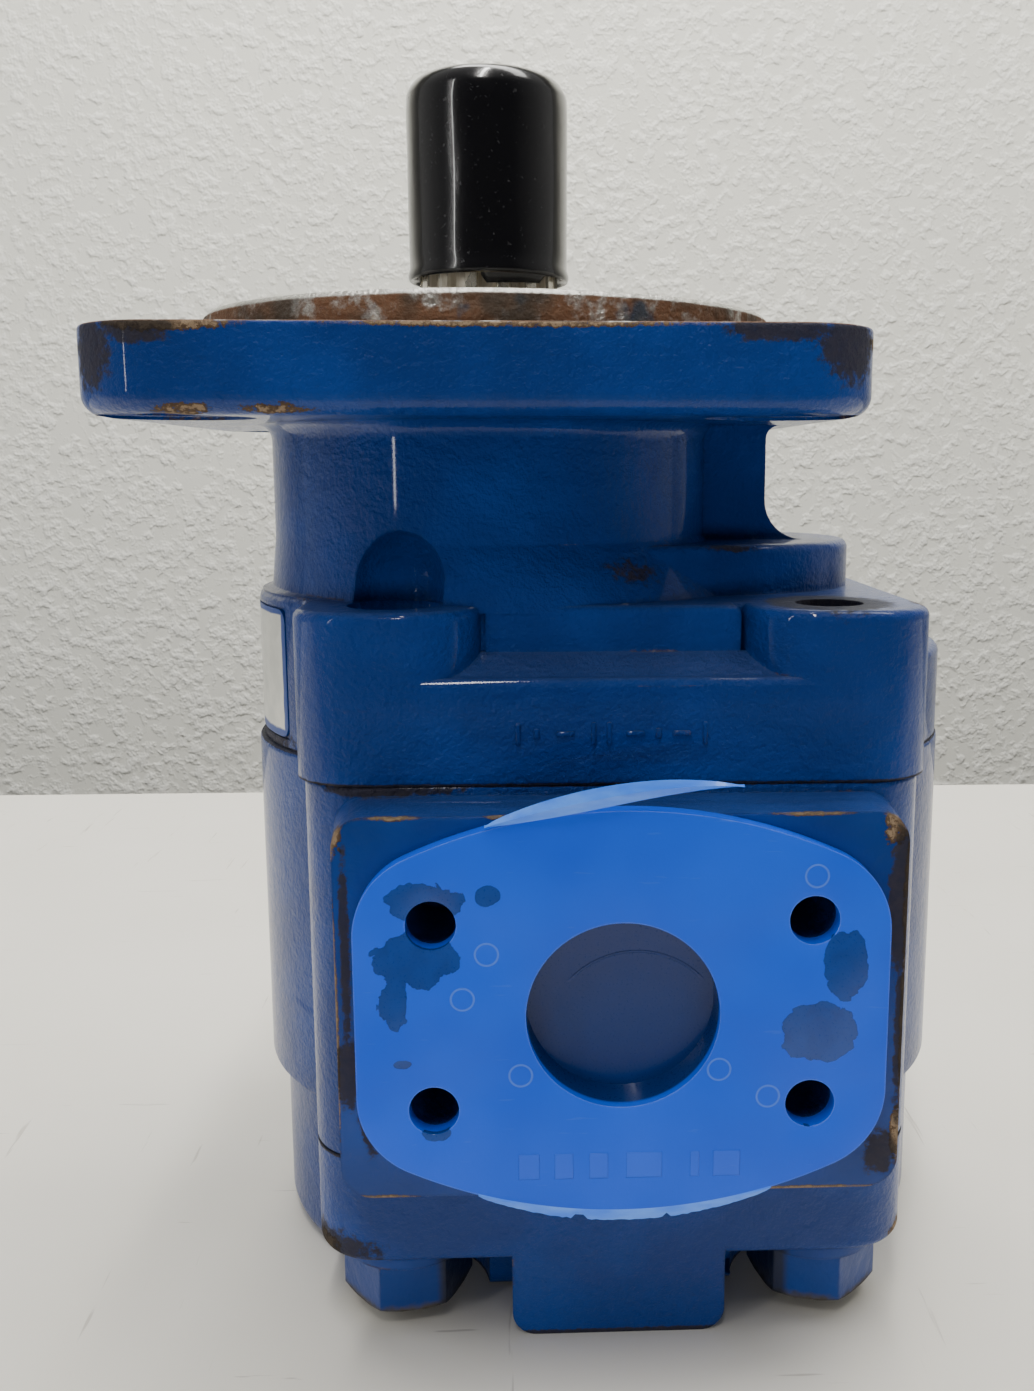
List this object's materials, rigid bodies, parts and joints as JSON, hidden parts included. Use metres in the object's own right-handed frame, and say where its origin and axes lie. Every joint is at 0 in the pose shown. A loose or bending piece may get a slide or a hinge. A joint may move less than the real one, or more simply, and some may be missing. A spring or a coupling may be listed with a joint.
{
  "type": "hydraulic gear pump",
  "caption": "External gear pump in three cast-iron sections with a square mounting flange, a round pilot, a splined shaft and a bolted flange port on each side, capped for shipping.",
  "frame": {"origin": "centre of the mounting flange's face, on the drive shaft's axis", "axes": "+Z out along the drive shaft, +X towards the driven gear, inlet port looks along -Y"},
  "size_m": [0.18, 0.172, 0.2628],
  "materials": {
    "blue_paint_iron": "glossy dark blue enamel over rough cast iron, chipped on the edges",
    "blue_paint_steel": "blue enamel over steel, worn on the lower rims",
    "label_aluminium": "satin blank plate with overspray",
    "bearing_bronze": "machined bronze",
    "black_rubber": "matt nitrile rubber",
    "ground_steel": "ground and oiled",
    "spring_steel": "phosphated",
    "pressed_steel": "drawn sheet, satin",
    "cage_brass": "pressed brass",
    "black_vinyl": "glossy dipped vinyl",
    "blue_plastic": "satin polyethylene with paint flakes"
  },
  "bodies": {
    "pump_body": {"shaft_end_cover": "blue_paint_iron", "gear_housing": "blue_paint_iron", "port_end_cover": "blue_paint_iron", "name_plate": "label_aluminium", "drive_bush_front": "bearing_bronze", "driven_bush_front": "bearing_bronze", "drive_bush_rear": "bearing_bronze", "driven_bush_rear": "bearing_bronze", "thrust_plate_front": "bearing_bronze", "thrust_plate_rear": "bearing_bronze", "pocket_seals_front": "black_rubber", "pocket_seals_rear": "black_rubber", "section_seal_front": "black_rubber", "section_seal_rear": "black_rubber", "bearing_outer_race": "ground_steel", "bore_snap_ring": "spring_steel", "shaft_seal_case": "pressed_steel", "shaft_seal_lip": "black_rubber", "garter_spring": "spring_steel", "cap_screws": "blue_paint_steel", "washers": "blue_paint_steel", "dowel_pins": "ground_steel"},
    "drive_train": {"drive_gear_shaft": "ground_steel", "bearing_inner_race": "ground_steel", "shaft_snap_ring": "spring_steel"},
    "driven_gear": {"driven_gear_shaft": "ground_steel"},
    "bearing_set": {"bearing_balls": "ground_steel", "bearing_cage": "cage_brass"},
    "shaft_cap": {"shaft_cap": "black_vinyl"},
    "inlet_cover": {"inlet_port_cover": "blue_plastic"},
    "outlet_cover": {"outlet_port_cover": "blue_plastic"}
  },
  "joints": [
    {"name": "drive_spin", "type": "hinge", "parent": "pump_body", "child": "drive_train", "pos_m": [0, 0, 0], "axis": [0, 0, 1], "continuous": true},
    {"name": "driven_spin", "type": "hinge", "parent": "pump_body", "child": "driven_gear", "pos_m": [0.0508, 0, 0], "axis": [0, 0, 1], "continuous": true},
    {"name": "bearing_roll", "type": "hinge", "parent": "pump_body", "child": "bearing_set", "pos_m": [0, 0, 0], "axis": [0, 0, 1], "continuous": true},
    {"name": "cap_pull", "type": "slide", "parent": "drive_train", "child": "shaft_cap", "axis": [0, 0, 1], "range_m": [0, 0.06]},
    {"name": "inlet_cover_pull", "type": "slide", "parent": "pump_body", "child": "inlet_cover", "axis": [0, -1, 0], "range_m": [0, 0.04]},
    {"name": "outlet_cover_pull", "type": "slide", "parent": "pump_body", "child": "outlet_cover", "axis": [0, 1, 0], "range_m": [0, 0.04]}
  ],
  "couplings": [
    {"joint": "driven_spin", "follows": "drive_spin", "ratio": -1},
    {"joint": "bearing_roll", "follows": "drive_spin", "ratio": 0.3972}
  ]
}
